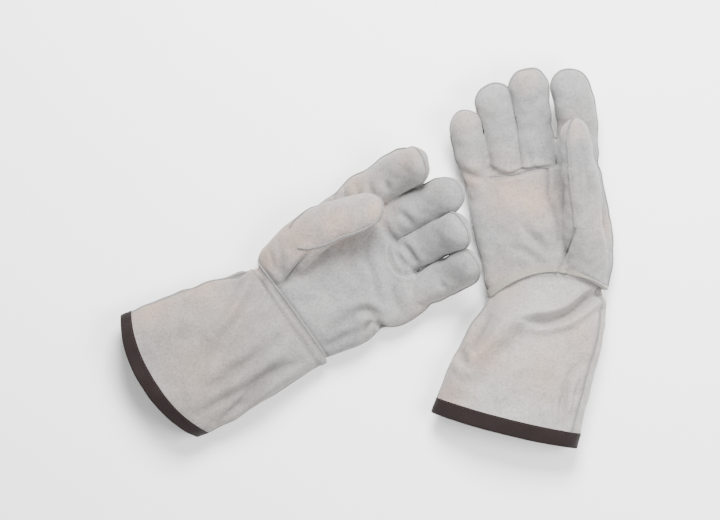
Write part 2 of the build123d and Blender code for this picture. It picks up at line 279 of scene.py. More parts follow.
def mesh_object(name, verts, faces):
    mesh = bpy.data.meshes.new(name)
    mesh.from_pydata([tuple(v) for v in verts], [], faces)
    mesh.update()
    obj = bpy.data.objects.new(name, mesh)
    bpy.context.scene.collection.objects.link(obj)
    return obj


def coordinates(mesh):
    co = np.zeros(len(mesh.vertices) * 3)
    mesh.vertices.foreach_get("co", co)
    return co.reshape(-1, 3)


def apply_modifiers(obj):
    graph = bpy.context.evaluated_depsgraph_get()
    mesh = bpy.data.meshes.new_from_object(obj.evaluated_get(graph))
    obj.modifiers.clear()
    old = obj.data
    obj.data = mesh
    bpy.data.meshes.remove(old)
    return obj


# ---- fingers: a straight finger in the flat hand, and the bent line it is posed along ----
class Finger:
    def __init__(self, glove, name):
        (cx, cy), knuckle, tip, widths, fan = glove["fingers"][name]
        self.name = name
        self.heading = math.radians(fan)
        self.dir = np.array([math.sin(self.heading), math.cos(self.heading)])
        self.perp = np.array([math.cos(self.heading), -math.sin(self.heading)])
        root = np.array([cx, cy]) - self.dir * BURY
        self.root = root
        start = np.array([*root, MID])
        crotch = np.array([cx, cy, MID + 0.8])
        flat = np.array([*(root + self.dir * BURY * 0.5), MID])
        self.line = spline([start, flat, crotch, knuckle, tip], 240)
        self.reach = length(self.line)
        self.widths = widths
        tangent = tangents(self.line)
        tangent[0] = [*self.dir, 0]
        self.across = unit(np.cross(tangent, [0, 0, 1]))
        self.up = np.cross(self.across, tangent)

    def flat_tube(self, segments=48):
        """The finger straightened out along its heading in the flat hand."""
        rings = []
        root_w, mid_w, end_w = self.widths
        for t in np.concatenate([np.linspace(4, self.reach - 17, 16), self.reach - 17 * (1 - np.sin(np.linspace(0.12, 1.45, 9)))]):
            f = (t - BURY) / (self.reach - BURY)
            wide = np.interp(f, [-0.3, 0.05, 0.45, 0.85, 1.0], [root_w - 2, root_w, mid_w, end_w + 0.5, end_w])
            thick = np.interp(f, [-0.3, 0.1, 0.5, 0.9, 1.0], [10.5, 13.2, 13.4, 11.8, 11.0])
            rest = np.clip((t - (self.reach - 17)) / 17, 0, 1)
            round_ = math.sqrt(max(1 - rest**2.3, 0.0))
            c = [*(self.root + self.dir * t), MID]
            rings.append(ring(c, [*self.perp, 0], [0, 0, 1], wide * round_, thick * round_**0.8,
                              thick * round_**0.8, 2.15, segments))
        return tube(rings)

    def local(self, p):
        """Distance along the finger, to the side and out of the plane, in the flat hand."""
        r = p[:, :2] - self.root
        return r @ self.dir, r @ self.perp, p[:, 2] - MID

    def posed(self, p):
        t, u, v = self.local(p)
        f = np.clip(t / self.reach, 0, 1) * (len(self.line) - 1)
        i = np.minimum(f.astype(int), len(self.line) - 2)
        w = (f - i)[:, None]
        c = self.line[i] * (1 - w) + self.line[i + 1] * w
        a = unit(self.across[i] * (1 - w) + self.across[i + 1] * w)
        b = unit(self.up[i] * (1 - w) + self.up[i + 1] * w)
        forward = np.cross(b, a)
        before = np.minimum(t, 0)[:, None] * forward
        beyond = np.maximum(t - self.reach, 0)[:, None] * forward
        return c + u[:, None] * a + v[:, None] * b + before + beyond


def thumb_frames(glove, count=70):
    spec = glove["thumb"]
    line = spline(spec["line"], count)
    tangent = tangents(line)
    up = unit(np.array([0, 0, 1]) - tangent * tangent[:, 2:3])
    across = unit(np.array([1, 0, 0]) - tangent * tangent[:, 0:1])
    roll = math.radians(spec["roll"])
    palm = unit(up * math.cos(roll) + across * math.sin(roll))
    palm = unit(palm - tangent * (palm * tangent).sum(1, keepdims=True))
    side = np.cross(tangent, palm)
    return line, tangent, palm, side


def thumb_tube(glove, segments=48):
    line, tangent, palm, side = thumb_frames(glove)
    spec = glove["thumb"]
    total = length(line)
    rings = []
    for i in range(len(line)):
        s = total * i / (len(line) - 1)
        f = i / (len(line) - 1)
        wide = np.interp(f, [0, 0.3, 0.65, 1.0], spec["wide"])
        deep = np.interp(f, [0, 0.3, 0.65, 1.0], spec["deep"])
        rest = np.clip((s - (total - 16)) / 16, 0, 0.985)
        round_ = math.sqrt(1 - rest**2.3)
        rings.append(ring(line[i], side[i], palm[i], wide * round_, deep * round_**0.8, deep * round_**0.8, 2.1, segments))
    return tube(rings)


def hand_tube(glove, segments=96):
    rows = np.array(glove["hand"], float)
    rings = []
    for y in np.linspace(rows[0, 0], rows[-1, 0], 40):
        x, wide, low, high = (np.interp(y, rows[:, 0], rows[:, k]) for k in (1, 2, 3, 4))
        rings.append(ring([x, y, MID], [1, 0, 0], [0, 0, 1], wide, high, low, 2.35, segments))
    return tube(rings)


def flat_hand(glove, fingers):
    """The whole hand of the glove, laid flat and joined into one skin."""
    verts, faces = [], []
    offset = 0
    parts = [hand_tube(glove), thumb_tube(glove)] + [f.flat_tube() for f in fingers]
    for v, f in parts:
        verts.append(v)
        faces += [tuple(i + offset for i in face) for face in f]
        offset += len(v)
    obj = mesh_object(glove["name"] + "_hand_form", np.vstack(verts), faces)
    bm = bmesh.new()
    bm.from_mesh(obj.data)
    bmesh.ops.recalc_face_normals(bm, faces=bm.faces)
    bm.to_mesh(obj.data)
    bm.free()
    mod = obj.modifiers.new("skin", "REMESH")
    mod.mode = "VOXEL"
    mod.voxel_size = VOXEL
    mod.use_smooth_shade = True
    soften = obj.modifiers.new("soften", "SMOOTH")
    soften.factor = 0.5
    soften.iterations = 6
    return apply_modifiers(obj)


def finger_weights(fingers, p):
    """How far each point of the flat hand belongs to each finger; the rest belongs to the palm."""
    local = [f.local(p) for f in fingers]
    apart = np.array([np.abs(u) for _, u, _ in local])
    along = np.array([t for t, _, _ in local])
    nearest = apart.argmin(0)
    spread = np.interp(along[nearest, np.arange(len(p))], [BURY - 10, BURY + 10], [9.0, 0.6])
    scores = -apart / spread
    scores -= scores.max(0)
    w = np.exp(scores)
    return w / w.sum(0)


def pose_hand(fingers, p):
    w = finger_weights(fingers, p)
    out = np.zeros_like(p)
    for k, f in enumerate(fingers):
        out += f.posed(p) * w[k][:, None]
    return out


SETTLE = 4               # rounds of averaging around a point
CRUMPLED = 0.75          # cosine to the surface around it below which a point is crumpled


def vertex_normals(verts, faces):
    """Smooth normals of a mesh given as arrays."""
    n = np.zeros_like(verts)
    groups = [np.array([f for f in faces if len(f) == size], int) for size in (3, 4)]
    groups = [group for group in groups if len(group)]
    for group in groups:
        a, b, c = verts[group[:, 0]], verts[group[:, 1]], verts[group[:, 2]]
        normal = np.cross(b - a, c - a)
        if group.shape[1] == 4:
            d = verts[group[:, 3]]
            normal = np.cross(c - a, d - b)
        for k in range(group.shape[1]):
            np.add.at(n, group[:, k], normal)
    n = unit(n)
    # at a crumpled point the surface around it gives the direction
    around = n.copy()
    for _ in range(SETTLE):
        total = around * 0.0
        for group in groups:
            mean = around[group].mean(axis=1)
            for k in range(group.shape[1]):
                np.add.at(total, group[:, k], mean)
        around = unit(total)
    crumpled = (n * around).sum(axis=1) < CRUMPLED
    n[crumpled] = around[crumpled]
    return n


# ---- folds, seams and soft unevenness ----
REST_HEIGHT = 0.4        # the backs of the gloves lie on the table
LEDGE = 4.0              # a drop in height that ends a sewn line


def beside(points, line, count=48):
    """Distance to a line in plan, the side it lies on, and the share of the way along."""
    fine = spline(line, count)[:, :2]
    a, step = fine[:-1], np.diff(fine, axis=0)
    size = (step ** 2).sum(1)
    best = np.full(len(points), 1e9)
    side = np.zeros(len(points))
    share = np.zeros(len(points))
    for i in range(len(a)):
        r = points[:, :2] - a[i]
        t = np.clip(r @ step[i] / size[i], 0, 1)
        off = r - t[:, None] * step[i]
        d = np.hypot(off[:, 0], off[:, 1])
        closer = d < best
        best = np.where(closer, d, best)
        side = np.where(closer, np.sign(step[i, 0] * r[:, 1] - step[i, 1] * r[:, 0]), side)
        share = np.where(closer, (i + t) / len(a), share)
    return best, side, share


def folded(points, normals, creases, amount=1.0, sharp=0.5, deeper=2.0):
    """Push the surface in along creases and out beside them, on the palm side."""
    shift = np.zeros(len(points))
    facing = smooth((normals[:, 2] + 0.1) / sharp) * amount
    for line, depth, width, step in creases:
        d, side, share = beside(points, line)
        taper = np.sin(math.pi * np.clip(share, 0.02, 0.98)) ** 0.5 * deeper
        groove = -depth * np.exp(-(d / width) ** 2)
        shoulder = 0.4 * depth * np.exp(-((d - 2.0 * width) / (1.2 * width)) ** 2)
        ledge = step * side * (d / width) * np.exp(-(d / (1.6 * width)) ** 2)
        shift += (groove + shoulder + ledge) * taper * facing
    return points + normals * shift[:, None]


def crease_shade_at(points, normals, creases, amount=1.0):
    """How much each point lies in the bottom of a crease or seam, where the colour is darkened as painted shade."""
    total = np.zeros(len(points))
    facing = smooth((normals[:, 2] + 0.1) / 0.5) * amount
    for line, depth, width, _ in creases:
        if depth <= 0:
            continue
        d, _, share = beside(points, line)
        taper = np.sin(math.pi * np.clip(share, 0.02, 0.98)) ** 0.4
        total = np.maximum(total, np.exp(-(d / (0.62 * width)) ** 2) * min(depth / 1.9, 1.0) * taper * facing)
    return total


def hollowed(points, normals, hollows):
    shift = np.zeros(len(points))
    for x, y, z, radius, depth in hollows:
        r2 = ((points - np.array([x, y, z])) ** 2).sum(1)
        shift -= depth * np.exp(-r2 / radius**2)
    return points + normals * shift[:, None]


def uneven(points, seed, waves=26, height=0.55):
    """A soft wobble of the surface, the sum of waves of many lengths and directions."""
    rng = np.random.default_rng(seed)
    shift = np.zeros(len(points))
    for _ in range(waves):
        way = unit(rng.normal(size=3))
        wave = rng.uniform(11, 60)
        shift += height * (wave / 34) ** 0.8 * np.sin(2 * math.pi * (points @ way) / wave + rng.uniform(0, 6.28))
    return shift * 0.42


def wrist_shift(glove, p):
    """The wrist seam bows towards the fingers on the palm side and fades out on both sides of it."""
    w = glove["wrist"]
    front = smooth((p[:, 2] - MID + 9) / 18)
    bow = np.clip(1 - ((p[:, 0] - w["middle"]) / 54) ** 2, 0, 1)
    amount = w["base"] + w["tilt"] * p[:, 0] + w["arc"] * bow * front
    near = smooth(1 - np.abs(p[:, 1]) / 68)
    out = p.copy()
    out[:, 1] += amount * near
    return out


def stains_and_shade_at(spots, p):
    """Strength of round marks given in plan: the warm stains, and the round patches of painted shade."""
    total = np.zeros(len(p))
    for x, y, radius, strength in spots:
        total = np.maximum(total, strength * np.exp(-((p[:, 0] - x) ** 2 + (p[:, 1] - y) ** 2) / radius**2))
    return total


def drape(surface, line, ceiling=300.0, count=60):
    """Lay a line given in plan on the surface under it, as far as that surface has no ledge."""
    runs = [[]]
    for x, y in spline(line, count)[:, :2]:
        hit, normal, _, _ = surface.ray_cast(Vector((x, y, ceiling)), Vector((0, 0, -1)))
        if hit is None or (runs[-1] and abs(hit.z - runs[-1][-1][0][2]) > LEDGE):
            runs.append([])
        if hit is not None:
            runs[-1].append((tuple(hit), tuple(normal) if normal.z > 0 else tuple(-normal)))
    best = max(runs, key=len)
    if len(best) < 8:
        return [], []
    return soften_line([p for p, _ in best], 2), unit(soften_line([n for _, n in best], 5))


# ---- cutting the skin along its seams ----
def thumb_measure(glove, p):
    """Share of the way along the thumb, and scaled distance from its middle line."""
    line, tangent, palm, side = thumb_frames(glove)
    spec = glove["thumb"]
    d = np.linalg.norm(p[:, None, :] - line[None, ::2, :], axis=2)
    i = d.argmin(1) * 2
    r = p - line[i]
    f = i / (len(line) - 1)
    wide = np.interp(f, [0, 0.3, 0.65, 1.0], spec["wide"])
    deep = np.interp(f, [0, 0.3, 0.65, 1.0], spec["deep"])
    scaled = np.hypot((r * side[i]).sum(1) / wide, (r * palm[i]).sum(1) / deep)
    return f, scaled


THUMB_CUT = 0.42         # where the thumb's own leather starts, as a share of its line
FINGER_CUT = BURY + 7.0  # where a finger's own leather starts


def cut(bm, faces, point, normal, clear=False):
    geometry = list({e for f in faces for e in f.edges} | {v for f in faces for v in f.verts}) + list(faces)
    bmesh.ops.bisect_plane(bm, geom=geometry, plane_co=point, plane_no=normal, clear_inner=clear, dist=1e-4)


def insert_line(glove):
    """A point of the seam across the palm and the direction from it to the fingertips."""
    ends = sorted(glove["gunn"][:4])
    low, high = np.array(ends[0]), np.array(ends[-1])
    slope = unit(high - low)
    return (low + high) / 2, np.array([-slope[1], slope[0]])


def insert_region(glove, fingers, centres, room=0.0):
    """The leather of the middle and ring fingers' roots, above the seam across the palm."""
    middle, upward = insert_line(glove)
    above = (centres[:, :2] - middle) @ upward > -room
    w = finger_weights(fingers, centres)
    names = list(glove["fingers"])
    inner = w[names.index("middle")] + w[names.index("ring")] > 0.5
    _, scaled = thumb_measure(glove, centres)
    return above & inner & (centres[:, 2] > MID) & ~((scaled < 1.4) & (centres[:, 2] > 40))


def hand_panels(glove, fingers, form):
    """Cut the flat skin into leathers. Returns the flat points, faces and the leather of each face."""
    bm = bmesh.new()
    bm.from_mesh(form.data)
    cut(bm, bm.faces[:], (0, 0, 0), (0, 1, 0), clear=True)
    cut(bm, bm.faces[:], (0, 0, MID), (0, 0, 1))
    for f in fingers:
        bm.faces.ensure_lookup_table()
        centres = np.array([fc.calc_center_median() for fc in bm.faces])
        w = finger_weights(fingers, centres)
        t, _, _ = f.local(centres)
        tf, scaled = thumb_measure(glove, centres)
        mine = (w[fingers.index(f)] > 0.5) & (t > FINGER_CUT - 12) & ~((scaled < 1.4) & (centres[:, 2] > 40))
        start = [*(f.root + f.dir * FINGER_CUT), MID]
        cut(bm, [bm.faces[i] for i in np.nonzero(mine)[0]], start, (*f.dir, 0))
    bm.faces.ensure_lookup_table()
    centres = np.array([fc.calc_center_median() for fc in bm.faces])
    middle, upward = insert_line(glove)
    mine = insert_region(glove, fingers, centres, 5.0)
    cut(bm, [bm.faces[i] for i in np.nonzero(mine)[0]], (*middle, MID), (*upward, 0))
    line, tangent, palm, side = thumb_frames(glove)
    k = int(THUMB_CUT * (len(line) - 1))
    m = int(0.75 * (len(line) - 1))
    for point, normal in ((line[k], tangent[k]), (line[m], palm[m])):
        bm.faces.ensure_lookup_table()
        centres = np.array([fc.calc_center_median() for fc in bm.faces])
        tf, scaled = thumb_measure(glove, centres)
        mine = (scaled < 1.4) & (tf > THUMB_CUT - 0.06) & (centres[:, 2] > 36)
        cut(bm, [bm.faces[i] for i in np.nonzero(mine)[0]], point, normal)
    bm.verts.ensure_lookup_table()
    bm.faces.ensure_lookup_table()
    points = np.array([v.co for v in bm.verts])
    faces = [tuple(v.index for v in f.verts) for f in bm.faces]
    centres = np.array([fc.calc_center_median() for fc in bm.faces])
    bm.free()
    w = finger_weights(fingers, centres)
    tf, scaled = thumb_measure(glove, centres)
    is_thumb = (scaled < 1.4) & ((centres - line[k]) @ tangent[k] > 0) & (centres[:, 2] > 36) & (tf > THUMB_CUT - 0.08)
    names = []
    insert = insert_region(glove, fingers, centres)
    for i, c in enumerate(centres):
        front = c[2] > MID
        if is_thumb[i]:
            names.append("thumb_front" if (c - line[m]) @ palm[m] > 0 else "thumb_back")
            continue
        best = int(w[:, i].argmax())
        t = (c[:2] - fingers[best].root) @ fingers[best].dir
        if t > FINGER_CUT:
            names.append(fingers[best].name + ("_front" if front else "_back"))
        else:
            names.append("insert" if insert[i] else "palm" if front else "back")
    return points, faces, np.array(names), is_thumb


def shell(name, points, normals, faces, thickness, glove, grime=None):
    """A closed piece of leather: its outside, its inside and its cut edge."""
    used = sorted({i for f in faces for i in f})
    index = {v: k for k, v in enumerate(used)}
    outer = points[used]
    n = len(used)
    inner = outer - normals[used] * thickness
    top = [tuple(index[i] for i in f) for f in faces]
    under = [tuple(n + i for i in reversed(f)) for f in top]
    edges = {}
    for f in top:
        for a, b in zip(f, f[1:] + f[:1]):
            edges[(a, b)] = True
    rim = [(b, a, a + n, b + n) for (a, b) in edges if (b, a) not in edges]
    if glove["mirror"] < 0:
        top, under, rim = ([tuple(reversed(f)) for f in group] for group in (top, under, rim))
    verts = to_world(glove, np.vstack([outer, inner]))
    obj = mesh_object(name, verts, top + under + rim)
    mesh = obj.data
    tone = mesh.attributes.new("warmth", "FLOAT", "POINT")
    tone.data.foreach_set("value", np.tile(stains_and_shade_at(glove["warm"], outer), 2).astype(np.float32))
    # painted shade: per-point darkening of creases, grooves and seams, passed to the material
    if grime is not None:
        dark = mesh.attributes.new("grime", "FLOAT", "POINT")
        dark.data.foreach_set("value", np.tile(grime[used], 2).astype(np.float32))
    mesh.polygons.foreach_set("use_smooth", [True] * len(mesh.polygons))
    world = turn_world(glove, normals[used])
    loops = np.zeros(len(mesh.loops), int)
    mesh.loops.foreach_get("vertex_index", loops)
    owner = np.repeat(np.arange(len(mesh.polygons)), [len(p.vertices) for p in mesh.polygons])
    flat = np.zeros(len(mesh.polygons) * 3)
    mesh.polygons.foreach_get("normal", flat)
    flat = flat.reshape(-1, 3)
    custom = np.where((owner < len(top))[:, None], world[loops % n], -world[loops % n])
    edge_loop = owner >= len(top) + len(under)
    custom[edge_loop] = flat[owner[edge_loop]]
    mesh.normals_split_custom_set([tuple(c) for c in custom])
    return obj


def chain(edges):
    """Join edges into ordered lines of point numbers."""
    near = {}
    for a, b in edges:
        near.setdefault(a, []).append(b)
        near.setdefault(b, []).append(a)
    lines = []
    left = set(near)
    while left:
        ends = [v for v in left if len(near[v]) == 1]
        start = min(ends) if ends else min(left)
        line = [start]
        left.discard(start)
        while True:
            following = [v for v in near[line[-1]] if v in left]
            if not following:
                break
            line.append(following[0])
            left.discard(following[0])
        lines.append(line)
    return sorted(lines, key=len, reverse=True)


def sewn_edges(faces, owner):
    """Points where two leathers that are sewn together meet."""
    front = {"palm": "palm", "insert": "palm", "back": "back"}
    side_of = {}
    for face, who in zip(faces, owner):
        side = front.get(who, "palm" if who.endswith("_front") else "back")
        for i in face:
            side_of.setdefault(i, set()).add(side)
    return [i for i, sides in side_of.items() if len(sides) > 1]


def sideways(line, normal, offset):
    """The same line moved to one side on its surface."""
    t = tangents(np.asarray(line))
    return np.asarray(line) + unit(np.cross(t, normal)) * offset


def soften_line(line, passes=3):
    line = np.array(line, float)
    for _ in range(passes):
        line[1:-1] = 0.25 * line[:-2] + 0.5 * line[1:-1] + 0.25 * line[2:]
    return line


def piping(name, line, normal, radius, glove, lift=0.3, pitch=3.2, segments=10, flat=1.0):
    """A sewn edge or cord of leather along a line, slightly drawn in at each stitch."""
    count = max(int(length(line) / 0.8), 8)
    line = resample(line, count)
    normal = unit(resample(normal, count))
    t = tangents(line)
    normal = unit(normal - t * (normal * t).sum(1, keepdims=True))
    side = np.cross(t, normal)
    s = np.linspace(0, length(line), count)
    draw = 1 - 0.10 * np.abs(np.cos(math.pi * s / pitch)) ** 6
    rings = []
    for i in range(count):
        a = np.linspace(0, 2 * math.pi, segments, endpoint=False)
        c = line[i] + normal[i] * lift
        rings.append(c + (np.cos(a)[:, None] * side[i] * radius * flat + np.sin(a)[:, None] * normal[i] * radius) * draw[i])
    verts, faces = tube(rings)
    if glove["mirror"] > 0:
        faces = [tuple(reversed(f)) for f in faces]
    obj = mesh_object(name, to_world(glove, verts), faces)
    obj.data.polygons.foreach_set("use_smooth", [True] * len(obj.data.polygons))
    return obj


def stitches(name, line, normal, glove, pitch=3.2, long=2.1, radius=0.32, lift=0.15):
    """A row of thread: one short rounded stitch after another, slightly sunk into the leather."""
    total = length(line)
    count = max(int(total / pitch), 1)
    fine = resample(line, count * 8 + 1)
    up = unit(resample(normal, count * 8 + 1))
    verts, faces = [], []
    for k in range(count):
        a = fine[k * 8]
        b = fine[min(k * 8 + int(8 * long / pitch), len(fine) - 1)]
        n = up[k * 8 + 2]
        t = unit(b - a)
        side = np.cross(t, n)
        base = len(verts)
        for f, r in ((0.0, 0.35), (0.2, 0.9), (0.5, 1.0), (0.8, 0.9), (1.0, 0.35)):
            c = a + (b - a) * f + n * (lift + 0.12 * math.sin(math.pi * f))
            for j in range(6):
                ang = 2 * math.pi * j / 6
                verts.append(c + (side * math.cos(ang) + n * math.sin(ang)) * radius * r)
        for i in range(4):
            for j in range(6):
                m = (j + 1) % 6
                faces.append((base + i * 6 + j, base + i * 6 + m, base + i * 6 + 6 + m, base + i * 6 + 6 + j))
        faces.append(tuple(base + j for j in range(5, -1, -1)))
        faces.append(tuple(base + 24 + j for j in range(6)))
    if glove["mirror"] > 0:
        faces = [tuple(reversed(f)) for f in faces]
    obj = mesh_object(name, to_world(glove, np.array(verts)), faces)
    obj.data.polygons.foreach_set("use_smooth", [True] * len(obj.data.polygons))
    return obj


# ---- cuff ----
AROUND = 192
ALONG = 100


def cuff_grid(glove, wrist):
    """The cuff as rows of points from the wrist seam to the hem."""
    rows = np.array(glove["cuff"], float)
    path = spline(rows[:, :2], 100)
    share = np.linspace(0, 1, ALONG)
    s_rows = np.concatenate([[0], np.cumsum(np.linalg.norm(np.diff(rows[:, :2], axis=0), axis=1))])
    s_rows /= s_rows[-1]
    grid = np.zeros((ALONG, AROUND, 3))
    for i, f in enumerate(share):
        c = path[min(int(round(f * 99)), 99)]
        turn, wide, low, high = (np.interp(f, s_rows, rows[:, k]) for k in (2, 3, 4, 5))
        a = math.radians(turn)
        middle = [c[0], c[1], low]
        section = ring(middle, [math.cos(a), -math.sin(a), 0], [0, 0, 1], wide, high, low, 2.25, AROUND)
        angles = np.linspace(0, 2 * math.pi, AROUND, endpoint=False)
        stand = glove["bow"] * f**2 * np.sin(angles) ** 2 * np.where(angles < math.pi, 1.0, 0.6)
        grid[i] = section - stand[:, None] * np.array([math.sin(a), math.cos(a), 0])
    start = wrist
    for i, f in enumerate(share):
        w = smooth(1 - f / 0.16)
        grid[i] = grid[i] * (1 - w) + (start + (grid[i].mean(0) - grid[0].mean(0))) * w
    return grid


def grid_faces(rows, columns):
    return [(i * columns + j, i * columns + (j + 1) % columns, (i + 1) * columns + (j + 1) % columns, (i + 1) * columns + j)
            for i in range(rows - 1) for j in range(columns)]


def grid_normals(grid):
    du = np.roll(grid, -1, axis=1) - np.roll(grid, 1, axis=1)
    dv = np.gradient(grid, axis=0)
    n = unit(np.cross(dv, du))
    centre = grid.mean(axis=1, keepdims=True)
    if ((grid - centre) * n).sum() < 0:
        n = -n
    return n


# ---- materials ----
def node(tree, kind, **inputs):
    n = tree.nodes.new(kind)
    for key, value in inputs.items():
        n.inputs[key.replace("_", " ")].default_value = value
    return n


def noise_node(tree, vector, scale, detail=4.0, rough=0.55, distortion=0.0):
    n = tree.nodes.new("ShaderNodeTexNoise")
    n.inputs["Scale"].default_value = scale
    n.inputs["Detail"].default_value = detail
    n.inputs["Roughness"].default_value = rough
    n.inputs["Distortion"].default_value = distortion
    tree.links.new(vector, n.inputs["Vector"])
    return n


def ramp_node(tree, source, stops):
    n = tree.nodes.new("ShaderNodeValToRGB")
    ramp = n.color_ramp
    while len(ramp.elements) < len(stops):
        ramp.elements.new(0.5)
    for e, (pos, colour) in zip(ramp.elements, stops):
        e.position = pos
        e.color = (*colour, 1.0)
    tree.links.new(source, n.inputs["Fac"])
    return n


def mix_node(tree, kind, factor, a, b):
    n = tree.nodes.new("ShaderNodeMix")
    n.data_type = "RGBA"
    n.blend_type = kind
    for socket, value in ((n.inputs[0], factor), (n.inputs[6], a), (n.inputs[7], b)):
        if hasattr(value, "is_output"):
            tree.links.new(value, socket)
        elif isinstance(value, tuple):
            socket.default_value = (*value, 1.0)
        else:
            socket.default_value = value
    return n.outputs[2]


def suede(name, light, dark, warm, warmth=0.5, seed=0.0, stained=(0.29, 0.205, 0.16)):
    """Napped split cowhide: cloudy shade, short brushed fibres, warm stains, painted shade in creases and seams, and a
    dry matt surface.
    """
    material = bpy.data.materials.new(name)
    material.use_nodes = True
    tree = material.node_tree
    shader = tree.nodes["Principled BSDF"]
    where = tree.nodes.new("ShaderNodeTexCoord")
    move = tree.nodes.new("ShaderNodeMapping")
    move.inputs["Location"].default_value = (seed, seed * 0.7, seed * 0.3)
    tree.links.new(where.outputs["Object"], move.inputs["Vector"])
    at = move.outputs["Vector"]
    cloud = noise_node(tree, at, 22, 5, 0.6, 0.3)
    patch = noise_node(tree, at, 70, 6, 0.65, 0.6)
    nap = noise_node(tree, at, 420, 5, 0.7, 0.4)
    fibre = noise_node(tree, at, 1500, 3, 0.6, 0.8)
    base = ramp_node(tree, cloud.outputs["Fac"], [(0.30, dark), (0.52, light), (0.75, tuple(min(c * 1.05, 1) for c in light))])
    tint = ramp_node(tree, noise_node(tree, at, 9, 3, 0.5, 0.2).outputs["Fac"], [(0.42, (0, 0, 0)), (0.68, (warmth,) * 3)])
    colour = mix_node(tree, "MIX", tint.outputs["Color"], base.outputs["Color"], warm)
    stain = tree.nodes.new("ShaderNodeAttribute")
    stain.attribute_name = "warmth"
    broken = tree.nodes.new("ShaderNodeMath")
    broken.operation = "MULTIPLY"
    tree.links.new(stain.outputs["Fac"], broken.inputs[0])
    tree.links.new(ramp_node(tree, cloud.outputs["Fac"], [(0.25, (0.55,) * 3), (0.6, (1.0,) * 3)]).outputs["Color"], broken.inputs[1])
    colour = mix_node(tree, "MIX", broken.outputs["Value"], colour, stained)
    # painted shade: the per-point attribute darkens the colour towards a third of the dark tone, standing in for shade
    # in creases, grooves and seams
    shade_attribute = tree.nodes.new("ShaderNodeAttribute")
    shade_attribute.attribute_name = "grime"
    shade_amount = tree.nodes.new("ShaderNodeMath")
    shade_amount.operation = "MULTIPLY"
    shade_amount.inputs[1].default_value = 0.62
    tree.links.new(shade_attribute.outputs["Fac"], shade_amount.inputs[0])
    colour = mix_node(tree, "MIX", shade_amount.outputs["Value"], colour, tuple(c * 0.35 for c in dark))
    speck = ramp_node(tree, patch.outputs["Fac"], [(0.30, (0.86,) * 3), (0.5, (1.0,) * 3), (0.75, (1.06,) * 3)])
    colour = mix_node(tree, "MULTIPLY", 0.75, colour, speck.outputs["Color"])
    brushed = ramp_node(tree, nap.outputs["Fac"], [(0.30, (0.66,) * 3), (0.5, (1.0,) * 3), (0.70, (1.22,) * 3)])
    colour = mix_node(tree, "MULTIPLY", 0.8, colour, brushed.outputs["Color"])
    fine = ramp_node(tree, fibre.outputs["Fac"], [(0.3, (0.72,) * 3), (0.55, (1.0,) * 3), (0.75, (1.2,) * 3)])
    colour = mix_node(tree, "MULTIPLY", 0.7, colour, fine.outputs["Color"])
    tree.links.new(colour, shader.inputs["Base Color"])
    rough = ramp_node(tree, patch.outputs["Fac"], [(0.3, (0.82,) * 3), (0.7, (0.97,) * 3)])
    tree.links.new(rough.outputs["Color"], shader.inputs["Roughness"])
    shader.inputs["Specular IOR Level"].default_value = 0.18
    shader.inputs["Sheen Weight"].default_value = 0.22
    shader.inputs["Sheen Roughness"].default_value = 0.6
    bumps = None
    for source, strength, distance in ((patch, 0.6, 0.0016), (nap, 0.8, 0.0006), (fibre, 0.6, 0.00025)):
        bump = tree.nodes.new("ShaderNodeBump")
        bump.inputs["Strength"].default_value = strength
        bump.inputs["Distance"].default_value = distance
        tree.links.new(source.outputs["Fac"], bump.inputs["Height"])
        if bumps is not None:
            tree.links.new(bumps, bump.inputs["Normal"])
        bumps = bump.outputs["Normal"]
    tree.links.new(bumps, shader.inputs["Normal"])
    return material


def cloth(name, light, dark, thread=1800.0, rough=0.9, sheen=0.3):
    """Woven tape or cotton: crossed threads with a little lint."""
    material = bpy.data.materials.new(name)
    material.use_nodes = True
    tree = material.node_tree
    shader = tree.nodes["Principled BSDF"]
    where = tree.nodes.new("ShaderNodeTexCoord").outputs["Object"]
    heights = []
    for direction, turn in (("X", 0.6), ("Y", 0.6)):
        m = tree.nodes.new("ShaderNodeMapping")
        m.inputs["Rotation"].default_value = (0, 0, turn)
        tree.links.new(where, m.inputs["Vector"])
        w = tree.nodes.new("ShaderNodeTexWave")
        w.bands_direction = direction
        w.inputs["Scale"].default_value = thread / 6.3
        w.inputs["Distortion"].default_value = 1.2
        w.inputs["Detail"].default_value = 2.0
        w.inputs["Detail Scale"].default_value = 3.0
        tree.links.new(m.outputs["Vector"], w.inputs["Vector"])
        heights.append(w.outputs["Fac"])
    weave = tree.nodes.new("ShaderNodeMath")
    weave.operation = "MULTIPLY"
    tree.links.new(heights[0], weave.inputs[0])
    tree.links.new(heights[1], weave.inputs[1])
    lint = noise_node(tree, where, 900, 5, 0.7, 0.5)
    cloud = noise_node(tree, where, 60, 4, 0.6, 0.2)
    base = ramp_node(tree, weave.outputs["Value"], [(0.0, dark), (0.55, light)])
    speck = ramp_node(tree, lint.outputs["Fac"], [(0.35, (0.75,) * 3), (0.55, (1.0,) * 3), (0.72, (1.5,) * 3)])
    colour = mix_node(tree, "MULTIPLY", 0.7, base.outputs["Color"], speck.outputs["Color"])
    shade = ramp_node(tree, cloud.outputs["Fac"], [(0.3, (0.8,) * 3), (0.7, (1.15,) * 3)])
    colour = mix_node(tree, "MULTIPLY", 0.8, colour, shade.outputs["Color"])
    tree.links.new(colour, shader.inputs["Base Color"])
    shader.inputs["Roughness"].default_value = rough
    shader.inputs["Specular IOR Level"].default_value = 0.2
    shader.inputs["Sheen Weight"].default_value = sheen
    shader.inputs["Sheen Roughness"].default_value = 0.5
    bump = tree.nodes.new("ShaderNodeBump")
    bump.inputs["Strength"].default_value = 0.6
    bump.inputs["Distance"].default_value = 0.0003
    tree.links.new(weave.outputs["Value"], bump.inputs["Height"])
    second = tree.nodes.new("ShaderNodeBump")
    second.inputs["Strength"].default_value = 0.5
    second.inputs["Distance"].default_value = 0.0002
    tree.links.new(lint.outputs["Fac"], second.inputs["Height"])
    tree.links.new(bump.outputs["Normal"], second.inputs["Normal"])
    tree.links.new(second.outputs["Normal"], shader.inputs["Normal"])
    return material


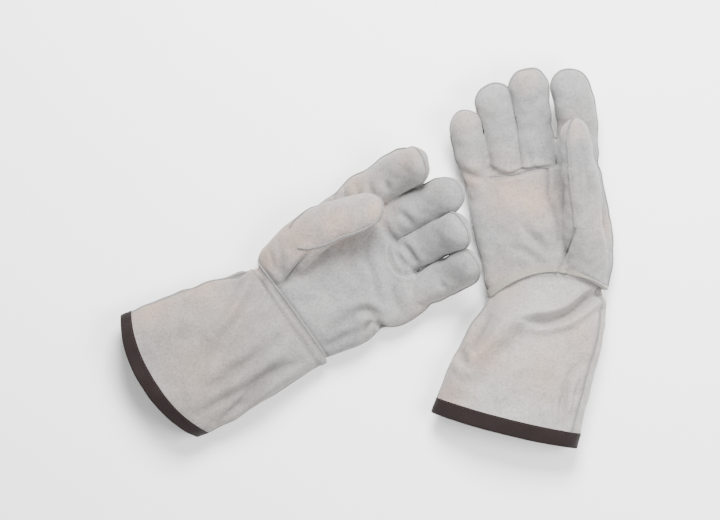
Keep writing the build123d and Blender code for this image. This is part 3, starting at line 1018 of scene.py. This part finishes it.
LEATHER = suede("split_cowhide", (0.215, 0.214, 0.214), (0.165, 0.165, 0.166), (0.235, 0.213, 0.198), 0.45)
CUFF_LEATHER = dict(
    left=suede("split_cowhide_left_cuff", (0.20, 0.193, 0.190), (0.155, 0.149, 0.147), (0.215, 0.188, 0.17), 0.6, 3.1),
    right=suede("split_cowhide_right_cuff", (0.28, 0.272, 0.266), (0.225, 0.217, 0.211), (0.30, 0.262, 0.24), 0.55, 5.3),
)
PIPING = suede("split_cowhide_edge", (0.165, 0.162, 0.159), (0.115, 0.112, 0.11), (0.185, 0.165, 0.15), 0.4, 1.7)
THREAD = cloth("thread", (0.30, 0.29, 0.275), (0.20, 0.19, 0.18), 5200, 0.7, 0.2)
TAPE = cloth("binding_tape", (0.0125, 0.0050, 0.0044), (0.0035, 0.0013, 0.0012), 2600, 0.75, 0.06)
TAPE_THREAD = cloth("binding_thread", (0.035, 0.017, 0.014), (0.012, 0.006, 0.005), 5200, 0.75, 0.1)
COTTON = cloth("brushed_cotton", (0.27, 0.25, 0.215), (0.19, 0.18, 0.155), 2200, 0.95, 0.3)


def dress(obj, material):
    obj.data.materials.append(material)
    return obj


# ---- building one glove ----
def hinge_points(glove, body):
    """Where a moving piece turns."""
    joint = next(j for j in frame["joints"] if j["child"] == body)
    return Vector(joint["pos_m"])


def build(glove):
    name = glove["name"]
    hand = name + "_hand"
    fingers = [Finger(glove, f) for f in glove["fingers"]]
    form = flat_hand(glove, fingers)
    flat, faces, owner, is_thumb = hand_panels(glove, fingers, form)
    bpy.data.objects.remove(form)
    of_thumb = np.zeros(len(flat), bool)
    for face, thumb in zip(faces, is_thumb):
        if thumb:
            of_thumb[list(face)] = True
    posed = np.where(of_thumb[:, None], flat, pose_hand(fingers, flat))
    posed = wrist_shift(glove, posed)
    simple = [f for f in faces if len(f) <= 4]
    simple += [(f[0], f[k], f[k + 1]) for f in faces if len(f) > 4 for k in range(1, len(f) - 1)]
    normals = vertex_normals(posed, simple)
    _, scaled = thumb_measure(glove, flat)
    thumb_share = smooth((1.5 - scaled) / 0.35) * smooth((flat[:, 2] - 34) / 8)
    rim_free = smooth((flat[:, 1] - 1) / 10)
    posed = posed + normals * (uneven(posed, glove["seed"]) * rim_free)[:, None]
    posed = hollowed(posed, normals, glove["hollows"])
    sewn = [(glove["gunn"], 1.3, 2.1, 1.1)]
    sewn += [(glove["gunn_side"], 1.2, 2.1, 0.9)] if glove["gunn_side"] else []
    sewn += [(line, 0.8, 2.1, 0.8) for line in glove["patch"]]
    run = [(glove["thumb_run"], 1.2, 2.2, 0.5)]
    # painted shade: the bottoms of creases, sewn lines and the thumb's run are darkened in the colour
    grime = crease_shade_at(posed, normals, glove["creases"] + sewn, 1 - thumb_share)
    grime = np.maximum(grime, crease_shade_at(posed, normals, glove["thumb_creases"], thumb_share) * 0.7)
    grime = np.maximum(grime, crease_shade_at(posed, normals, run))
    posed = folded(posed, normals, glove["creases"] + sewn, 1 - thumb_share)
    posed = folded(posed, normals, glove["thumb_creases"], thumb_share)
    posed = folded(posed, normals, run)
    ring_groove = np.exp(-((flat[:, 1] - 1.5) / 2.2) ** 2)
    posed = posed - normals * (0.7 * ring_groove)[:, None]
    posed[:, 2] = np.maximum(posed[:, 2], REST_HEIGHT)
    # painted shade in the pressed-in wrist groove, and the round patches of painted shade on the palm side
    grime = np.maximum(grime, 0.9 * ring_groove)
    grime = np.maximum(grime, stains_and_shade_at(glove["soil"], flat) * (1 - thumb_share) * (flat[:, 2] > MID))
    # painted shade along the seams where two leathers meet
    for face_edge in sewn_edges(faces, owner):
        grime[face_edge] = np.maximum(grime[face_edge], 0.55)
    normals = vertex_normals(posed, simple)
    skin = BVHTree.FromPolygons([tuple(v) for v in posed], [f for f in faces])
    groups = {}
    for face, who in zip(faces, owner):
        groups.setdefault(who, []).append(face)

    moving = {}
    for f in fingers:
        body = f"{name}_{f.name}_finger"
        hinge = hinge_points(glove, body)
        k = int(np.linalg.norm(to_world(glove, f.line) - np.array(hinge), axis=1).argmin())
        a, b = max(k - 36, 0), min(k + 36, len(f.line) - 1)
        moving[f.name] = (body, Vector(to_world(glove, f.line[a])), Vector(to_world(glove, f.line[b])))
    line = thumb_frames(glove)[0]
    hinge = hinge_points(glove, name + "_thumb")
    k = int(np.linalg.norm(to_world(glove, line) - np.array(hinge), axis=1).argmin())
    moving["thumb"] = (name + "_thumb", Vector(to_world(glove, line[max(k - 8, 0)])), Vector(to_world(glove, line[min(k + 9, 69)])))

    def settle(obj, part):
        if part in moving:
            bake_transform(obj)
        else:
            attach(obj, hand)
        return obj

    nodes_of = {
        "palm": ["palm", "thumb_base_front", "thumb_base_back"],
        "insert": ["middle_fingers_insert"],
        "back": ["back"],
    }
    for who, group in groups.items():
        digit = who.split("_")[0]
        obj = shell(f"{name}_{who}_leather", posed, normals, group, THICK, glove, grime)
        dress(obj, LEATHER)
        settle(obj, digit)
        if who in nodes_of:
            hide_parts(*[f"{name}_{n}" for n in nodes_of[who]])
        else:
            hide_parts(f"{name}_{digit}_tip_{who.split('_')[1]}")

    # brushed cotton inside the hand
    inside = [f for who in ("palm", "insert", "back") for f in groups.get(who, [])]
    obj = shell(f"{name}_hand_lining_cloth", posed - normals * (THICK + 0.5), normals, inside, 0.6, glove)
    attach(dress(obj, COTTON), hand)
    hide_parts(f"{name}_hand_lining")

    # seams sewn across the palm side, each a turned edge with a row of thread beside it
    runs = [("palm_seam", glove["gunn"]), ("thumb_run", glove["thumb_run"])]
    runs += [("palm_side_seam", glove["gunn_side"])] if glove["gunn_side"] else []
    runs += [(f"patch_seam_{i}", line) for i, line in enumerate(glove["patch"])]
    for label, line in runs:
        pts, nrm = drape(skin, line, 46.0 if label != "thumb_run" else 300.0)
        if len(pts) < 8:
            continue
        obj = piping(f"{name}_{label}", pts, nrm, 0.9, glove, lift=-0.15)
        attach(dress(obj, PIPING), hand)
        beside_line = sideways(pts, nrm, 2.6)
        beside_pts, beside_nrm = drape(skin, beside_line[:, :2], 46.0 if label != "thumb_run" else 300.0)
        if len(beside_pts) > 8:
            obj = stitches(f"{name}_{label}_stitches", beside_pts, beside_nrm, glove)
            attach(dress(obj, THREAD), hand)

    # side seams of the hand and fingers
    edge_sides = {}
    for face, who in zip(faces, owner):
        side = "front" if who in ("palm", "insert") or who.endswith("_front") else "back"
        for a, b in zip(face, face[1:] + face[:1]):
            edge_sides.setdefault((min(a, b), max(a, b)), []).append((side, who))
    seam = [e for e, s in edge_sides.items() if len(s) == 2 and s[0][0] != s[1][0]
            and not s[0][1].startswith("thumb") and not s[1][1].startswith("thumb")]
    for count, line_ids in enumerate(chain(seam)):
        if len(line_ids) < 30:
            continue
        ids = np.array(line_ids)
        w = finger_weights(fingers, flat[ids])
        labels = []
        for i in range(len(ids)):
            best = int(w[:, i].argmax())
            t = (flat[ids[i], :2] - fingers[best].root) @ fingers[best].dir
            labels.append(fingers[best].name if t > FINGER_CUT - 1e-3 else "hand")
        pts = soften_line(posed[ids])
        nrm = unit(soften_line(normals[ids], 4))
        start = 0
        for i in range(1, len(ids) + 1):
            if i == len(ids) or labels[i] != labels[start]:
                stop = min(i + 1, len(ids))
                if stop - start > 4:
                    part = labels[start]
                    obj = piping(f"{name}_{part}_seam_{count}_{start}", pts[start:stop], nrm[start:stop], 1.15, glove)
                    settle(dress(obj, PIPING), part)
                start = i
    thumb_seam = [e for e, s in edge_sides.items() if len(s) == 2 and {s[0][1], s[1][1]} == {"thumb_front", "thumb_back"}]
    for count, line_ids in enumerate(chain(thumb_seam)):
        if len(line_ids) < 12:
            continue
        ids = np.array(line_ids)
        obj = piping(f"{name}_thumb_seam_{count}", soften_line(posed[ids]), unit(soften_line(normals[ids], 4)), 1.2, glove)
        settle(dress(obj, PIPING), "thumb")

    # wrist loop, then the cuff
    rim = [e for e, s in edge_sides.items() if len(s) == 1]
    loop = chain([e for e in rim if abs(flat[e[0], 1]) < 0.01 and abs(flat[e[1], 1]) < 0.01])[0]
    pts = posed[loop]
    centre = np.array([pts[:, 0].mean(), glove["wrist"]["base"] * 0.5, MID])
    angle = np.arctan2((pts[:, 2] - centre[2]) / 17, (pts[:, 0] - centre[0]) / 57)
    order = np.argsort(angle)
    want = np.linspace(0, 2 * math.pi, AROUND, endpoint=False)
    want = np.where(want > math.pi, want - 2 * math.pi, want)
    wrist = np.stack([np.interp(want, angle[order], pts[order, k], period=2 * math.pi) for k in range(3)], axis=1)
    grid = cuff_grid(glove, wrist)
    normal = grid_normals(grid)
    points = grid.reshape(-1, 3)
    normals_now = normal.reshape(-1, 3)
    along_share = np.repeat(np.linspace(0, 1, ALONG), AROUND)
    free = smooth(along_share / 0.06)
    points = points + normals_now * (uneven(points, glove["seed"] + 7, height=0.5) * free)[:, None]
    points = hollowed(points, normals_now, glove["hollows"])
    # painted shade on the cuff: darkened fold bottoms, the stitched groove, round shaded patches on the upper side,
    # the wrist seam and the side seam
    cuff_painted_shade = crease_shade_at(points, normals_now, glove["cuff_creases"]) * 0.6 * free
    points = folded(points, normals_now, glove["cuff_creases"], free * (0.4 + 0.6 * smooth((1 - along_share) / 0.12)), 0.9, 3.0)
    line_at = 7.0 / (140 / ALONG)
    rows_away = along_share * (ALONG - 1) - line_at
    stitched_row = np.exp(-(rows_away / 1.1) ** 2)
    points = points - normals_now * (1.0 * stitched_row)[:, None]
    cuff_painted_shade = np.maximum(cuff_painted_shade, 0.75 * stitched_row)
    cuff_painted_shade = np.maximum(cuff_painted_shade, stains_and_shade_at(glove["soil"], points) * smooth(normals_now[:, 2]))
    cuff_painted_shade = np.maximum(cuff_painted_shade, 0.9 * np.exp(-(along_share * (ALONG - 1) / 1.0) ** 2))
    column = np.tile(np.arange(AROUND), ALONG)
    cuff_painted_shade = np.maximum(cuff_painted_shade, 0.8 * np.exp(-((column - glove["seam"]) / 1.2) ** 2) * free)
    points[:, 2] = np.maximum(points[:, 2], REST_HEIGHT)
    grid = points.reshape(ALONG, AROUND, 3)
    grid[0] = wrist
    normal = grid_normals(grid)
    flat_grid = grid.reshape(-1, 3)
    flat_normal = normal.reshape(-1, 3)
    front, back = [], []
    for f in grid_faces(ALONG, AROUND):
        column = f[0] % AROUND
        (front if glove["seam"] <= column < AROUND // 2 else back).append(f)
    cuff_start = Vector(to_world(glove, np.array([centre[0], 2.0, MID])))
    cuff_end = Vector(to_world(glove, np.array([centre[0], -30.0, MID])))
    cuff = name + "_cuff"
    for side, group in (("front", front), ("back", back)):
        obj = shell(f"{name}_cuff_{side}_leather", flat_grid, flat_normal, group, THICK, glove, cuff_painted_shade)
        dress(obj, CUFF_LEATHER[name])
        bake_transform(obj)
        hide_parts(f"{name}_cuff_{side}")
    ring_line = np.vstack([wrist, wrist[:1]])
    ring_normal = np.vstack([normal[0], normal[0, :1]])
    obj = piping(f"{name}_wrist_seam", ring_line, ring_normal, 1.0, glove, lift=-0.35)
    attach(dress(obj, PIPING), hand)
    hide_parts(f"{name}_wrist_welt")

    def sew(label, line, line_normal, body=None):
        row = stitches(f"{name}_{label}", line, line_normal, glove)
        dress(row, THREAD)
        if body:
            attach(row, body)
        else:
            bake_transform(row)

    at = int(round(line_at))
    sew("wrist_stitches", np.vstack([grid[at], grid[at, :1]]) - normal[at, 0] * 0.0, np.vstack([normal[at], normal[at, :1]]))
    for label, column in (("thumb_side", glove["seam"]), ("little_side", AROUND // 2)):
        pts, nrm = grid[1:-6, column], normal[1:-6, column]
        obj = piping(f"{name}_cuff_{label}_seam", pts, nrm, 1.0, glove, lift=-0.1)
        dress(obj, PIPING)
        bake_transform(obj)
        sew(f"cuff_{label}_stitches", grid[2:-6, column + 2], normal[2:-6, column + 2])

    # binding over the hem
    steps = int(glove["binding"] / (140 / ALONG))
    outer = [grid[ALONG - 1 - k] + normal[ALONG - 1 - k] * 0.9 for k in range(steps, -1, -1)]
    along = unit(grid[-1] - grid[-2])
    bead = [grid[-1] + normal[-1] * 0.7 + along * 1.2, grid[-1] - normal[-1] * 0.7 + along * 1.7, grid[-1] - normal[-1] * 2.2 + along * 1.2]
    inner = [grid[ALONG - 1 - k] - normal[ALONG - 1 - k] * 2.4 for k in range(0, steps + 1)]
    band = np.array(outer + bead + inner)
    band_normal = grid_normals(band)
    count = len(band)
    band_faces = grid_faces(count, AROUND)
    du = np.roll(band, -1, axis=1) - np.roll(band, 1, axis=1)
    dv = np.gradient(band, axis=0)
    band_normal = unit(np.cross(dv, du))
    if (band_normal[0] * normal[-1]).sum() < 0:
        band_normal = -band_normal
    obj = shell(f"{name}_hem_binding", band.reshape(-1, 3), band_normal.reshape(-1, 3), band_faces, 0.7, glove)
    dress(obj, TAPE)
    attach(obj, cuff)
    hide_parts(f"{name}_cuff_binding")
    row = ALONG - steps
    obj = stitches(f"{name}_binding_stitches", np.vstack([grid[row], grid[row, :1]]) + 0,
                   np.vstack([normal[row], normal[row, :1]]), glove, lift=1.0)
    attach(dress(obj, TAPE_THREAD), cuff)

    # cuff lining
    inside = grid[: ALONG - 3] - normal[: ALONG - 3] * 1.7
    lining_faces = grid_faces(ALONG - 3, AROUND)
    obj = shell(f"{name}_cuff_lining_cloth", inside.reshape(-1, 3), normal[: ALONG - 3].reshape(-1, 3), lining_faces, 0.7, glove)
    dress(obj, COTTON)
    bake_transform(obj)
    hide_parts(f"{name}_cuff_lining")
    return posed, normals, faces, grid, normal


for glove in (RIGHT, LEFT):
    build(glove)


# ---- floor, light and camera ----
def stage():
    mesh = bpy.data.meshes.new("floor")
    size = 4.0
    mesh.from_pydata([(-size, -size, -0.0005), (size, -size, -0.0005), (size, size, -0.0005), (-size, size, -0.0005)], [], [(0, 1, 2, 3)])
    floor = bpy.data.objects.new("floor", mesh)
    bpy.context.scene.collection.objects.link(floor)
    material = bpy.data.materials.new("floor")
    material.use_nodes = True
    shader = material.node_tree.nodes["Principled BSDF"]
    shader.inputs["Base Color"].default_value = (0.95, 0.95, 0.95, 1)
    shader.inputs["Roughness"].default_value = 0.9
    shader.inputs["Specular IOR Level"].default_value = 0.0
    mesh.materials.append(material)
    world = bpy.data.worlds.new("room")
    world.use_nodes = True
    world.node_tree.nodes["Background"].inputs["Color"].default_value = (1, 1, 1, 1)
    world.node_tree.nodes["Background"].inputs["Strength"].default_value = 0.8
    bpy.context.scene.world = world
    for label, place, power, size_ in (("key", (0.1, 0.85, 1.1), 66, 0.6), ("fill", (0.7, -0.1, 1.1), 22, 0.6)):
        light = bpy.data.lights.new(label, "AREA")
        light.energy = power
        light.size = size_
        obj = bpy.data.objects.new(label, light)
        obj.location = place
        obj.rotation_euler = (Vector((0, 0, 0)) - Vector(place)).to_track_quat("-Z", "Y").to_euler()
        bpy.context.scene.collection.objects.link(obj)


stage()
camera_data = bpy.data.cameras.new("camera")
camera = bpy.data.objects.new("camera", camera_data)
bpy.context.scene.collection.objects.link(camera)
camera_data.sensor_width = 36
distance = 2.6
camera_data.lens = 36 * distance / (720 * 0.95 * MM)
camera.location = (0.0, 0.0, distance)
camera.rotation_euler = (0, 0, 0)
camera.location.x = -0.00475 + 0.0027
camera.location.y = -0.0019
bpy.context.scene.camera = camera
